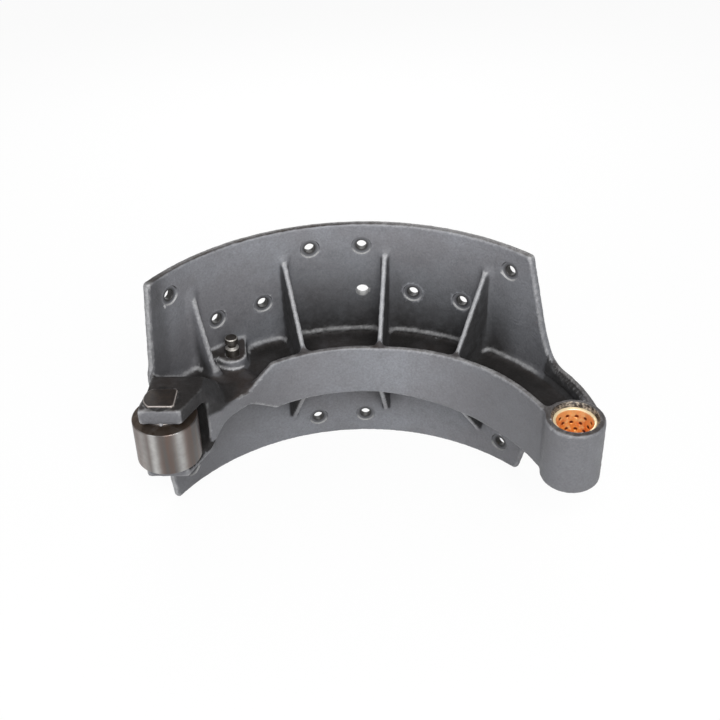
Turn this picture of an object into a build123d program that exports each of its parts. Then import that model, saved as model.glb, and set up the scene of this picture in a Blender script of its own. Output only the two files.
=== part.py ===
from build123d import *
from math import atan2, cos, degrees, radians, sin, tan
import os

os.makedirs("parts", exist_ok=True)

# Cast shoe of a 410 mm S-cam drum brake: an I-section casting with a pivot eye at one end and a
# fork with a cam roller at the other. Lengths are in mm, angles in degrees. Angles are taken at
# the drum's axis from the middle of the table, positive towards the anchor end.

# Drum and table
drum_bore = 410.0
lining_thickness = 17.5
table_radius = drum_bore / 2 - lining_thickness
table_thickness = 6.6
table_width = 212.0
table_end_angle = -56.0  # the band's own end, cam end
anchor_edge_angle = 52.1  # where the table's long edge stops, anchor end
anchor_edge_slope = 15.8  # lean of the table's end towards the anchor
anchor_break_height = 43.0  # below this the end leans more, down to the outer flange
anchor_break_slope = 27.8
anchor_break_radius = 110.0
anchor_corner_radius = 18.0
cam_edge_angle = -52.75
cam_edge_slope = 6.4
cam_edge_floor = 29.0  # height at which the cam end's edge stops above the fork's web
cam_corner_radius = 6.0

# Web and flanges
web_thickness = 8.0
web_end_angle = -52.0
flange_radius = 128.0  # inner face of the inner flange
flange_thickness = 5.0
flange_height = 45.0
bend_angle = 13.0  # beyond this the inner flange opens out to the boss
bend_radius = 150.0
flange_growth = 92.0  # past the bend the inner flange grows to the boss's height over this
strip_height = 41.4  # outer flange between the table and the boss
neck_angle = 66.0  # beyond this the outer flange leaves the table's circle
plate_thickness = 14.6  # thick end of the web beside the fork
plate_start_angle = -50.0
plate_end_angle = -31.0
flange_stop_angle = -27.0  # the inner flange is full height from here
flange_fade_angle = -37.5  # and has faded into the thick web here

# Anchor eye
anchor_distance = 160.4
anchor_angle = 85.4
boss_radius = 22.6
boss_height = 56.0
boss_chamfer = 1.4
bush_seat = 32.0
bush_bore = 28.0
bush_length = 48.4
mouth_depth = 3.6  # lead-in above and below the bush
mouth_growth = 2.0

# Fork, roller and pin
roller_distance = 154.8
roller_angle = -65.5
roller_diameter = 50.0
roller_chamfer = 1.0
roller_width = 38.2
upper_gap = 2.3  # roller to upper ear
lower_gap = 0.9
roller_seat_gap = 7.3
running_clearance = 0.06  # radial, roller on pin
fork_tilt = -7.2
upper_ear = 13.2
lower_ear = 9.6
nose_reach = 15.4
fork_side = 16.4
nose_width = 32.0
fork_waist = 13.2
fork_waist_reach = 12.0
fork_flare = 4.8
fork_back = 66.0  # how far the fork's block runs towards the table
fork_shoulder = 27.3  # the ears are full height up to here, then ramp down to the web
fork_root = 40.8
fork_back_shoulder = 28.0
fork_back_root = 54.0
cheek_reach = 10.2
pin_diameter = 28.0
pin_flats = 22.0
pin_side_flat = 10.6  # third flat, on the side of the web
pin_proud = 1.4
pin_recess = 1.0  # lower end, inside the lower ear
pin_chamfer = 0.9
flank_step = 5.5  # where the nose ends on the fork's far side
fork_heel = 8.2

# Ribs
rib_angles = (-39.9, -13.7, 12.6, 39.8)
rib_thickness = 4.8
rib_reach = 84.0  # height of the rib where it dies out on the table
rib_foot = 1.2
rib_plate_radius = 158.0  # where the ribs on the thick web end

# Rivet holes, two linings of eight rivets
hole_pitch = 13.25
outer_row = 86.2
inner_row = 43.9
outer_columns = (-3.5, -0.5, 0.5, 3.5)  # in pitches from the table's middle
inner_columns = (-2.5, -1.5, 1.5, 2.5)
rivet_hole = 8.6
rivet_spot = 15.6
rivet_spot_depth = 0.9
plain_hole = 10.4
plain_column = 0.5  # one hole without a rivet, in the upper inner row

# Return spring post and its lug
post_distance = 167.6
post_angle = -32.1
post_shank = 10.0
post_head = 10.0
post_neck = 7.2
post_height = 64.0
groove_bottom = 23.5
groove_top = 26.0
groove_slope = 1.5
lug_height = 32.0
lug_radius = 11.5
lug_corner = 1.0
lug_start_angle = -36.8
lug_end_angle = -25.6

# Worked-out places
anchor_x = anchor_distance * sin(radians(anchor_angle))
anchor_y = anchor_distance * cos(radians(anchor_angle))
drum = Plane(origin=(-anchor_x, -anchor_y, 0))
half_plate = plate_thickness / 2
ear_top = roller_width / 2 + upper_gap + upper_ear
ear_bottom = roller_width / 2 + lower_gap + lower_ear
flange_back = flange_radius + flange_thickness
table_inside = table_radius - table_thickness
table_middle = table_radius - table_thickness / 2
well_outside = 2 * table_radius  # beyond every piece, for cuts that run right through


def polar(radius, angle):
    return (radius * sin(radians(angle)), radius * cos(radians(angle)))


def drum_point(radius, angle, height=0.0):
    x, y = polar(radius, angle)
    return Vector(x - anchor_x, y - anchor_y, height)


def radial_plane(angle):
    outward = Vector(*polar(1, angle), 0)
    return Plane(origin=drum.origin, x_dir=outward, z_dir=outward.cross(Vector(0, 0, 1)))


def tangent_plane(angle):
    outward = Vector(*polar(1, angle), 0)
    return Plane(origin=drum.origin, x_dir=Vector(outward.Y, -outward.X, 0), z_dir=outward)


def sweep_arc(centre, radius, start, end):
    return CenterArc(centre, radius, 90 - start, start - end)


fork = Plane(
    origin=drum_point(roller_distance, roller_angle),
    x_dir=(cos(radians(fork_tilt)), sin(radians(fork_tilt)), 0),
    z_dir=(0, 0, 1),
)
slot_radius = roller_diameter / 2 + roller_seat_gap

# Outer flange: an arc that touches the table's circle at neck_angle and the boss's circle.
neck_cosine = cos(radians(anchor_angle - neck_angle))
neck_radius = (
    table_radius**2 + anchor_distance**2 - 2 * table_radius * anchor_distance * neck_cosine
    - boss_radius**2
) / (2 * (table_radius - boss_radius - anchor_distance * neck_cosine))
neck_centre = polar(table_radius - neck_radius, neck_angle)
neck_end_angle = degrees(atan2(anchor_x - neck_centre[0], anchor_y - neck_centre[1]))

# Inner flange: the bend's arc touches the flange's circle at bend_angle and runs into the boss.
bend_centre = polar(flange_radius - bend_radius, bend_angle)
bend_end_angle = degrees(atan2(anchor_x - bend_centre[0], anchor_y - bend_centre[1]))


def outer_band(inset, start):
    near = sweep_arc((0, 0), table_radius - inset, start, neck_angle)
    far = sweep_arc(neck_centre, neck_radius - inset, neck_angle, neck_end_angle)
    return near, far


def inner_band(inset, start):
    near = sweep_arc((0, 0), flange_radius + inset, start, bend_angle)
    far = sweep_arc(bend_centre, bend_radius + inset, bend_angle, bend_end_angle)
    return near, far


# Table and outer flange: one band, trimmed at both ends by leaning cuts.
half_width = table_width / 2
strip_top = strip_height / 2
break_drift = (half_width - anchor_break_height) * tan(radians(anchor_edge_slope))
corner_drift = break_drift + (anchor_break_height - strip_top) * tan(radians(anchor_break_slope))
cam_drift = (half_width - cam_edge_floor) * tan(radians(cam_edge_slope))
anchor_trim = ((0, half_width), (break_drift, anchor_break_height), (corner_drift, strip_top))
cam_trim = ((0, half_width), (-cam_drift, cam_edge_floor))
with BuildPart() as table:
    with BuildSketch(drum):
        with BuildLine():
            outer_near, outer_far = outer_band(0, table_end_angle)
            inner_near, inner_far = outer_band(table_thickness, table_end_angle)
            Line(outer_near @ 0, inner_near @ 0)
            Line(outer_far @ 1, inner_far @ 1)
        make_face()
    extrude(amount=half_width, both=True)
    for angle, outline, radii in (
        (anchor_edge_angle, anchor_trim, (anchor_break_radius, anchor_corner_radius)),
        (cam_edge_angle, cam_trim, (cam_corner_radius,)),
    ):
        outside = well_outside if outline[1][0] > 0 else -well_outside
        with BuildSketch(tangent_plane(angle)):
            with BuildLine():
                edge = FilletPolyline(
                    (0, well_outside), *outline, (outside, outline[-1][1]), radius=(0, *radii)
                )
                Polyline(edge @ 1, (outside, well_outside), edge @ 0)
            make_face()
            mirror(about=Plane.XZ)
        extrude(amount=table_radius, mode=Mode.SUBTRACT)

# Inner flange: a tall band that fades into the thick web towards the fork and grows to the
# boss's height towards the anchor, so its front view is cut to an outline.
flange_top = (
    (-well_outside, half_plate),
    (polar(flange_radius, flange_fade_angle)[0], half_plate),
    (polar(flange_radius, flange_stop_angle)[0], flange_height / 2),
    (polar(flange_radius, bend_angle)[0], flange_height / 2),
    (polar(flange_radius, bend_angle)[0] + flange_growth, boss_height / 2),
    (anchor_x, boss_height / 2),
)
with BuildPart() as flange:
    with BuildSketch(drum):
        with BuildLine():
            front_near, front_far = inner_band(0, web_end_angle)
            back_near, back_far = inner_band(flange_thickness, web_end_angle)
            Line(front_near @ 0, back_near @ 0)
            Line(front_far @ 1, back_far @ 1)
        make_face()
    extrude(amount=boss_height / 2, both=True)
    with BuildSketch(Plane(origin=drum.origin, x_dir=(1, 0, 0), z_dir=(0, -1, 0))):
        with BuildLine():
            Polyline(*flange_top, (anchor_x, 0), (-well_outside, 0), close=True)
        make_face()
        mirror(about=Plane.XZ)
    extrude(amount=-table_radius, mode=Mode.INTERSECT)

# Section of the pin's upper end: three flats on the round.
with BuildSketch() as pin_end:
    Circle(pin_diameter / 2)
    with Locations((pin_side_flat, 0)):
        Rectangle(pin_diameter, pin_flats, align=(Align.MAX, Align.CENTER), mode=Mode.INTERSECT)

# Fork: a block on the web's end, ramped down to the web on two sides.
with BuildPart() as fork_block:
    with BuildSketch(fork):
        Polygon(
            (-fork_side, -nose_reach),
            (nose_width - fork_side, -nose_reach),
            (fork_shoulder, cheek_reach),
            (fork_root, cheek_reach + fork_root - slot_radius + roller_seat_gap),
            (fork_shoulder, fork_back),
            (-fork_side + fork_heel, fork_back),
            (-fork_waist - fork_flare, fork_back - fork_back_shoulder + fork_flare),
            (-fork_waist, fork_back_shoulder),
            (-fork_waist, fork_waist_reach),
            (-fork_side, -flank_step),
            align=None,
        )
        with Locations(Location(fork.to_local_coords(drum.origin))):
            Circle(table_radius, mode=Mode.INTERSECT)
    extrude(amount=fork_back, both=True)
    for across, shoulder, root in (
        (fork.x_dir, fork_shoulder, fork_root),
        (fork.y_dir, fork_back_shoulder, fork_back_root),
    ):
        with BuildSketch(Plane(origin=fork.origin, x_dir=across, z_dir=across.cross(fork.z_dir))):
            Polygon(
                (-well_outside, ear_top),
                (shoulder, ear_top),
                (root, half_plate),
                (well_outside, half_plate),
                (well_outside, -half_plate),
                (root, -half_plate),
                (shoulder, -ear_bottom),
                (-well_outside, -ear_bottom),
                align=None,
            )
        extrude(amount=well_outside, both=True, mode=Mode.INTERSECT)

# Thick end of the web, between the inner flange and the table, up to the fork.
with BuildPart() as plate:
    with BuildSketch(drum):
        with BuildLine():
            inner = sweep_arc((0, 0), flange_radius, plate_start_angle, plate_end_angle)
            outer = sweep_arc((0, 0), table_middle, plate_start_angle, plate_end_angle)
            Line(inner @ 0, outer @ 0)
            Line(inner @ 1, outer @ 1)
        make_face()
    extrude(amount=half_plate, both=True)

# Lug of the return spring post, on both sides of the web.
post_place = polar(post_distance, post_angle)
with BuildPart() as lug:
    with BuildSketch(drum):
        with Locations(post_place):
            Circle(lug_radius)
        with Locations(polar(table_middle, lug_start_angle), polar(table_middle, lug_end_angle)):
            Circle(lug_corner)
        make_hull()
    extrude(amount=lug_height / 2, both=True)

# Boss of the anchor eye.
with BuildPart() as boss:
    Cylinder(boss_radius, boss_height)
    chamfer(boss.edges().filter_by(GeomType.CIRCLE), length=boss_chamfer)

# The casting in one piece: table, web and inner flange make an I-section.
with BuildPart() as shoe_casting:
    add(table.part)
    with BuildSketch(drum):
        with BuildLine():
            outer_near, outer_far = outer_band(table_thickness / 2, web_end_angle)
            inner_near, inner_far = inner_band(flange_thickness / 2, web_end_angle)
            Line(outer_near @ 0, inner_near @ 0)
            Line(outer_far @ 1, inner_far @ 1)
        make_face()
    extrude(amount=web_thickness / 2, both=True)
    add(flange.part)
    add(plate.part)
    add(boss.part)

    # Ribs between table and inner flange on both sides of the web.
    for angle in rib_angles:
        on_plate = angle < plate_end_angle
        foot_radius = rib_plate_radius if on_plate else flange_back + rib_foot
        foot_height = half_plate - rib_foot if on_plate else flange_height / 2
        with BuildSketch(radial_plane(angle)):
            with BuildLine():
                Polyline(
                    (table_middle, 0),
                    (table_middle, rib_reach),
                    (table_inside, rib_reach),
                    (foot_radius, foot_height),
                    (foot_radius - 2 * rib_foot, foot_height),
                    (foot_radius - 2 * rib_foot, 0),
                    close=True,
                )
            make_face()
            mirror(about=Plane.XZ)
        extrude(amount=rib_thickness / 2, both=True)
    add(fork_block.part)
    add(lug.part)

    # Roller slot between the ears, open towards the drum's axis and past the shoe's end.
    with BuildSketch(fork.offset(-roller_width / 2 - lower_gap)):
        Circle(slot_radius)
        with Locations((slot_radius, 0)):
            Rectangle(well_outside, well_outside, align=(Align.MAX, Align.MAX))
    extrude(amount=lower_gap + roller_width + upper_gap, mode=Mode.SUBTRACT)

    # The pin's hole is round in the lower ear and has three flats in the upper one.
    with BuildSketch(fork):
        Circle(pin_diameter / 2)
    extrude(amount=-well_outside, mode=Mode.SUBTRACT)
    with BuildSketch(fork):
        add(pin_end.sketch)
    extrude(amount=well_outside, mode=Mode.SUBTRACT)

    # The eye's bore, with a wide lead-in above and below the bush.
    Cylinder(bush_seat / 2, boss_height, mode=Mode.SUBTRACT)
    seat = shoe_casting.faces().filter_by(GeomType.CYLINDER).sort_by_distance((0, 0, 0))[0]
    mouths = seat.edges().filter_by(GeomType.CIRCLE)
    chamfer(mouths, length=mouth_depth, length2=mouth_growth, reference=seat)

    with BuildSketch(drum):
        with Locations(post_place):
            Circle(post_shank / 2)
    extrude(amount=lug_height, both=True, mode=Mode.SUBTRACT)

    # Rivet holes, spot-faced on the inside of the table, and the one hole without a rivet.
    holes = []
    for side in (1, -1):
        holes += [(column * hole_pitch, side * outer_row) for column in outer_columns]
        holes += [(column * hole_pitch, side * inner_row) for column in inner_columns]
    for angle, height in holes:
        inside = Plane(origin=drum_point(table_inside, angle, height), z_dir=-tangent_plane(angle).z_dir)
        with Locations(inside):
            CounterBoreHole(rivet_hole / 2, rivet_spot / 2, rivet_spot_depth, 2 * table_thickness)
    with BuildSketch(tangent_plane(plain_column * hole_pitch)):
        with Locations((0, -inner_row)):
            Circle(plain_hole / 2)
    extrude(amount=well_outside, mode=Mode.SUBTRACT)

# Wrapped bush in the eye.
with BuildPart() as anchor_bush:
    Cylinder(bush_seat / 2, bush_length)
    Cylinder(bush_bore / 2, bush_length, mode=Mode.SUBTRACT)

# Roller that the cam pushes, free to turn on its pin.
with BuildPart() as cam_roller:
    with BuildSketch(fork):
        Circle(roller_diameter / 2)
        Circle(pin_diameter / 2 + running_clearance, mode=Mode.SUBTRACT)
    extrude(amount=roller_width / 2, both=True)
    rims = cam_roller.edges().filter_by(GeomType.CIRCLE).sort_by(SortBy.RADIUS)[-2:]
    chamfer(rims, length=roller_chamfer)

# Pin: the upper ear holds the flats of its top end, and its shoulder stops below that ear.
with BuildPart() as roller_pin:
    with BuildSketch(fork.offset(pin_recess - ear_bottom)):
        Circle(pin_diameter / 2)
    extrude(amount=ear_bottom - pin_recess + roller_width / 2 + upper_gap)
    with BuildSketch(fork.offset(roller_width / 2 + upper_gap)):
        add(pin_end.sketch)
    extrude(amount=upper_ear + pin_proud)
    chamfer(roller_pin.faces().sort_by(Axis.Z)[-1].edges(), length=pin_chamfer)

# Return spring post, pressed through lug and web, with a grooved head at each end.
post_origin = drum_point(post_distance, post_angle)
with BuildPart() as spring_post:
    with BuildSketch(Plane(origin=post_origin, x_dir=(1, 0, 0), z_dir=(0, -1, 0))):
        with BuildLine():
            Polyline(
                (0, 0),
                (post_shank / 2, 0),
                (post_shank / 2, groove_bottom - groove_slope),
                (post_neck / 2, groove_bottom),
                (post_neck / 2, groove_top),
                (post_head / 2, groove_top + groove_slope),
                (post_head / 2, post_height / 2),
                (0, post_height / 2),
                close=True,
            )
        make_face()
        mirror(about=Plane.XZ)
    revolve(axis=Axis(post_origin, (0, 0, 1)))

for name, piece in (
    ("shoe_casting", shoe_casting),
    ("anchor_bush", anchor_bush),
    ("cam_roller", cam_roller),
    ("roller_pin", roller_pin),
    ("spring_post", spring_post),
):
    piece.part.label = name
    export_step(piece.part, f"parts/{name}.step")
    print(name, len(piece.part.solids()), round(piece.part.volume))
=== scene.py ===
import bpy
import bmesh
import math
import numpy as np
import openvdb as vdb
from mathutils import Matrix, Vector
from types import SimpleNamespace


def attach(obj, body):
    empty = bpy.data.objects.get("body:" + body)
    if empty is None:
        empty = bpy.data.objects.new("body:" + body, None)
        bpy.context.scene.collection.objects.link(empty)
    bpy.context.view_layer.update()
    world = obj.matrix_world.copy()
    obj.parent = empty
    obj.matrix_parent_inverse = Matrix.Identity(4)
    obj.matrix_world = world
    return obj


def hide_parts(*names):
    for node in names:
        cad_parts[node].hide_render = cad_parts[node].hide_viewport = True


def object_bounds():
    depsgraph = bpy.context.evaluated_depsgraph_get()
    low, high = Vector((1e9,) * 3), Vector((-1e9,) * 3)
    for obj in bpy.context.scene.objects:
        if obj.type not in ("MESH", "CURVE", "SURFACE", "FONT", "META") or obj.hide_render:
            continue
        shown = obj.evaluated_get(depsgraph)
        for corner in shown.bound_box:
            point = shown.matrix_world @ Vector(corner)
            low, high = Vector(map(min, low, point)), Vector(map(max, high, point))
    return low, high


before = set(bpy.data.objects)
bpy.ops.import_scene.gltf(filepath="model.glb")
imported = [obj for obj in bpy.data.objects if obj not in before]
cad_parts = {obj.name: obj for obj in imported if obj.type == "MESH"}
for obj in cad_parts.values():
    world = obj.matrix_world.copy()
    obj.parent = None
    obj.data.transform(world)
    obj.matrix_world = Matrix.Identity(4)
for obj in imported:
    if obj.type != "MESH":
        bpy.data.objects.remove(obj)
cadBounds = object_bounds()
scene = bpy.context.scene
scene.view_settings.view_transform = "Standard"
print("frame loaded")

mm = 0.001
eyeX, eyeY = 159.88, 12.86  # the eye's bore, from the drum's axis


def linear(hexColour):
    channels = [int(hexColour[i:i + 2], 16) / 255 for i in (1, 3, 5)]
    bright = [c / 12.92 if c <= 0.04045 else ((c + 0.055) / 1.055) ** 2.4 for c in channels]
    return (*bright, 1.0)


def drumPoint(radius, angle, height=0.0):
    # angle in degrees from the middle of the table, lengths in mm, result in metres
    turn = math.radians(angle)
    return Vector((radius * math.sin(turn) - eyeX, radius * math.cos(turn) - eyeY, height)) * mm


camera = {
    "place": (-50.41, -638.00, 566.34),  # mm from the drum's axis
    "azimuth": -4.729,
    "elevation": 35.893,
    "roll": -1.543,
    "focalPixels": 1173.44,
    "framePixels": 720,
}


def addCamera(values):
    az, el, roll = (math.radians(values[k]) for k in ("azimuth", "elevation", "roll"))
    back = Vector((math.sin(az) * math.cos(el), -math.cos(az) * math.cos(el), math.sin(el)))
    right = (-back).cross(Vector((0, 0, 1))).normalized()
    up = right.cross(-back)
    turned = math.cos(roll) * right + math.sin(roll) * up
    raised = math.cos(roll) * up - math.sin(roll) * right
    data = bpy.data.cameras.new("camera")
    data.lens = values["focalPixels"] / values["framePixels"] * data.sensor_width
    data.clip_start = 0.01
    eye = bpy.data.objects.new("camera", data)
    scene.collection.objects.link(eye)
    x, y, z = values["place"]
    place = Vector((x - eyeX, y - eyeY, z)) * mm
    turn = Matrix((turned, raised, back)).transposed().to_4x4()
    eye.matrix_world = Matrix.Translation(place) @ turn
    scene.camera = eye


addCamera(camera)
print("camera set")


def addNode(tree, kind, settings=None, links=None, out=0):
    node = tree.nodes.new("ShaderNode" + kind)
    for key, value in (settings or {}).items():
        if isinstance(key, int) or key in node.inputs.keys():
            node.inputs[key].default_value = value
        else:
            setattr(node, key, value)
    for key, source in (links or {}).items():
        tree.links.new(source, node.inputs[key])
    return node if out is None else node.outputs[out]


def newMaterial(name, patterns, shares, **values):
    # patterns are noises on object coordinates: size in mm, detail, roughness and, where the
    # pattern is drawn out, its scale on each axis; shares are read from a pattern: its name, the
    # noise where the share begins and is full, its least and its most
    material = bpy.data.materials.new(name)
    material.use_nodes = True
    tree = material.node_tree
    for key, value in values.items():
        tree.nodes["Principled BSDF"].inputs[key.replace("_", " ")].default_value = value
    spot = addNode(tree, "TexCoord", out="Object")
    pattern, share = {}, {}
    for key, (size, detail, roughness, *drawn) in patterns.items():
        place = addNode(tree, "Mapping", {"Scale": drawn[0]}, {"Vector": spot}) if drawn else spot
        pattern[key] = addNode(tree, "TexNoise", {"Scale": 1 / (size * mm), "Detail": detail,
                                                  "Roughness": roughness}, {"Vector": place})
    for key, (source, begin, full, least, most) in shares.items():
        share[key] = addNode(tree, "MapRange", {"From Min": begin, "From Max": full,
                                                "To Min": least, "To Max": most},
                             {"Value": pattern[source]})
    return material, tree, pattern, share


def finishMaterial(material, look, layers, grain, rough, bumps, dull=None, mottle=None):
    # layers are the lowest tint and then (tint, share) from the bottom up; grain sets the
    # roughness between two values and may mottle the colour; bumps are (height, strength, mm);
    # dull is (dirt, the roughness that it adds)
    tree = material.node_tree
    shader = tree.nodes["Principled BSDF"]
    colour = None
    for tint, share in layers[1:]:
        colours, links = {"data_type": "RGBA", 7: linear(look[tint])}, {0: share}
        if colour:
            links[6] = colour
        else:
            colours[6] = linear(look[layers[0]])
        colour = addNode(tree, "Mix", colours, links, 2)
    if mottle:
        scale = addNode(tree, "MapRange", {"From Min": 0.3, "From Max": 0.7, "To Min": mottle[0],
                                           "To Max": mottle[1]}, {"Value": grain})
        colour = addNode(tree, "VectorMath", {"operation": "SCALE"},
                         {"Vector": colour, "Scale": scale})
    roughness = addNode(tree, "MapRange", {"From Min": 0.3, "From Max": 0.7, "To Min": rough[0],
                                           "To Max": rough[1]}, {"Value": grain})
    if dull:
        added = addNode(tree, "Math", {"operation": "MULTIPLY", 1: dull[1]}, {0: dull[0]})
        roughness = addNode(tree, "Math", {"operation": "ADD"}, {0: roughness, 1: added})
    bump = None
    for height, strength, distance in bumps:
        links = {"Height": height, "Normal": bump} if bump else {"Height": height}
        bump = addNode(tree, "Bump", {"Strength": strength, "Distance": distance * mm}, links)
    for key, source in (("Base Color", colour), ("Roughness", roughness), ("Normal", bump)):
        tree.links.new(source, shader.inputs[key])
    return material


def castIronMaterial():
    # Cast iron, shot-blasted and dipped in thin grey primer: an even matt grey with the sand's
    # grain in it, brown oil dust on what faces up, dirt and painted shade in the pockets, painted
    # shade towards the ends, rubbed edges with painted highlights.
    look = {
        "primer": "#7c7e83",
        "primerWarm": "#737377",
        "thinPrimerAndShade": "#57575a",
        "oilDust": "#2c2420",
        "pocketDirtAndShade": "#0e0b0a",
        "rubbedEdgeAndHighlight": "#b9b9ba",
        "edgeBegins": 0.523,   # pointiness of the roundest edge that is rubbed
        "edgeFull": 0.58,
    }
    patterns = {
        "cloud": (55.0, 3.0, 0.5),     # how far the primer's thickness drifts
        "blotch": (9.0, 4.0, 0.6),
        "dust": (14.0, 4.0, 0.65),
        "dirtAndShade": (7.0, 4.0, 0.6),
        "wear": (4.0, 3.0, 0.6),       # gaps in the rubbed edges
        "chisel": (4.0, 4.0, 0.65),    # marks of the dressing beside the roller's slot
        "grain": (1.7, 3.0, 0.6),      # sand grain is 0.3 mm and is drawn coarser so that it shows
        "fineGrain": (0.8, 2.0, 0.6),
    }
    shares = {
        "cloud": ("cloud", 0.4, 0.6, 0.0, 1.0),
        "blotch": ("blotch", 0.5, 0.75, 0.0, 0.3),
        "dust": ("dust", 0.3, 0.6, 0.62, 0.95),
        "dirtAndShade": ("dirtAndShade", 0.25, 0.6, 0.86, 1.0),
        "wear": ("wear", 0.3, 0.6, 0.45, 0.95),
    }
    material, tree, pattern, share = newMaterial("dippedCastIron", patterns, shares, Roughness=0.6,
                                                 IOR=1.5)
    # painted shade: darker towards the table's ends, the cam end, the eye and below the upper
    # table, and darker where the slot's edge was dressed
    darkened = addNode(tree, "Attribute", {"attribute_name": "shadeAndDressing"}, out="Fac")
    darkened = addNode(tree, "Math", {"operation": "MULTIPLY", 1: 0.7}, {0: darkened})

    normal = addNode(tree, "NewGeometry", out="Normal")
    facing = addNode(tree, "SeparateXYZ", None, {0: normal}, "Z")
    upward = addNode(tree, "MapRange", {"interpolation_type": "SMOOTHSTEP", "From Min": 0.66,
                                        "From Max": 0.86}, {"Value": facing})
    dust = addNode(tree, "Math", {"operation": "MULTIPLY"}, {0: share["dust"], 1: upward})
    # dirt and painted shade: darker deep in the pockets, down the table, on the ribs' flanks and in
    # the holes
    depth = addNode(tree, "Attribute", {"attribute_name": "dirtAndShadeDepth"}, out="Fac")
    dirtAndShade = addNode(tree, "Math", {"operation": "MULTIPLY"}, {0: share["dirtAndShade"], 1: depth})

    # rubbed edges, with painted highlights on the root fillet, the ribs' front edges, the table's
    # end face and the lug's edges
    edge = addNode(tree, "NewGeometry", out="Pointiness")
    edge = addNode(tree, "MapRange", {"From Min": look["edgeBegins"], "From Max": look["edgeFull"]},
                   {"Value": edge})
    clean = addNode(tree, "MapRange", {"From Min": 0.5, "From Max": 0.95, "To Min": 1.0,
                                       "To Max": 0.15}, {"Value": dirtAndShade})
    edge = addNode(tree, "Math", {"operation": "MULTIPLY"}, {0: edge, 1: clean})
    highlight = addNode(tree, "Attribute", {"attribute_name": "rubbedAndHighlight"}, out="Fac")
    edge = addNode(tree, "Math", {"operation": "MAXIMUM"}, {0: edge, 1: highlight})
    rubbedAndHighlight = addNode(tree, "Math", {"operation": "MULTIPLY"}, {0: edge, 1: share["wear"]})

    dressed = addNode(tree, "Attribute", {"attribute_name": "dressedEdge"}, out="Fac")
    chisel = addNode(tree, "Math", {"operation": "MULTIPLY"}, {0: pattern["chisel"], 1: dressed})
    layers = ["primerWarm", ("primer", share["cloud"]), ("thinPrimerAndShade", share["blotch"]),
              ("thinPrimerAndShade", darkened), ("oilDust", dust), ("pocketDirtAndShade", dirtAndShade), ("rubbedEdgeAndHighlight", rubbedAndHighlight)]
    bumps = [(chisel, 1.0, 2.2), (pattern["grain"], 0.7, 0.45), (pattern["fineGrain"], 0.5, 0.16)]
    return finishMaterial(material, look, layers, pattern["grain"], (0.4, 0.6), bumps,
                          dull=(dirtAndShade, 0.45), mottle=(0.82, 1.14))


def spotFacedMaterial():
    # Cast iron, spot-faced and drilled before the dip: the cut's lower lip is painted bright as a
    # highlight where it faces up, its upper lip in painted shade, and the holes dark with oil and
    # painted shade.
    look = {"coat": "#6a6b6f", "lip": "#a5a5a4", "shade": "#2a2826", "oil": "#120e0c"}
    patterns = {"grain": (1.2, 3.0, 0.6)}  # turning marks, drawn coarser so that they show
    shares = {"wear": ("grain", 0.3, 0.6, 0.45, 1.0)}
    material, tree, pattern, share = newMaterial("spotFacedIron", patterns, shares, Roughness=0.5,
                                                 IOR=1.5)
    normal = addNode(tree, "NewGeometry", out="Normal")
    facing = addNode(tree, "SeparateXYZ", None, {0: normal}, "Z")
    # painted highlight on the lower lip, which faces up; painted shade on the upper lip, which
    # faces down
    lip = addNode(tree, "MapRange", {"From Min": 0.12, "From Max": 0.45}, {"Value": facing})
    lip = addNode(tree, "Math", {"operation": "MULTIPLY"}, {0: lip, 1: share["wear"]})
    shade = addNode(tree, "MapRange", {"From Min": -0.12, "From Max": -0.45, "To Max": 0.85},
                    {"Value": facing})
    # painted shade and oil dirt in the holes
    depth = addNode(tree, "Attribute", {"attribute_name": "dirtAndShadeDepth"}, out="Fac")
    layers = ["coat", ("lip", lip), ("shade", shade), ("oil", depth)]
    return finishMaterial(material, look, layers, pattern["grain"], (0.4, 0.65),
                          [(pattern["grain"], 0.4, 0.1)])


def machinedIronMaterial():
    # Cast iron, turned: the eye's lead-in, cut before the primer and since covered in brown oil
    # dirt, so dark with fine bright rings where it has rubbed off.
    look = {"bright": "#a79c8d", "oil": "#2b241f"}
    patterns = {
        "speckle": (2.2, 4.0, 0.7),
        "rings": (0.9, 2.0, 0.6, (0.2, 0.2, 1.0)),  # 0.2 mm apart, drawn coarser so that they show
    }
    shares = {"speckle": ("speckle", 0.44, 0.64, 0.0, 1.0)}
    material, _, pattern, share = newMaterial("machinedCastIron", patterns, shares, Metallic=0.35,
                                              Roughness=0.5)
    return finishMaterial(material, look, ["oil", ("bright", share["speckle"])], pattern["rings"],
                          (0.35, 0.6), [(pattern["rings"], 0.4, 0.08)])


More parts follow.
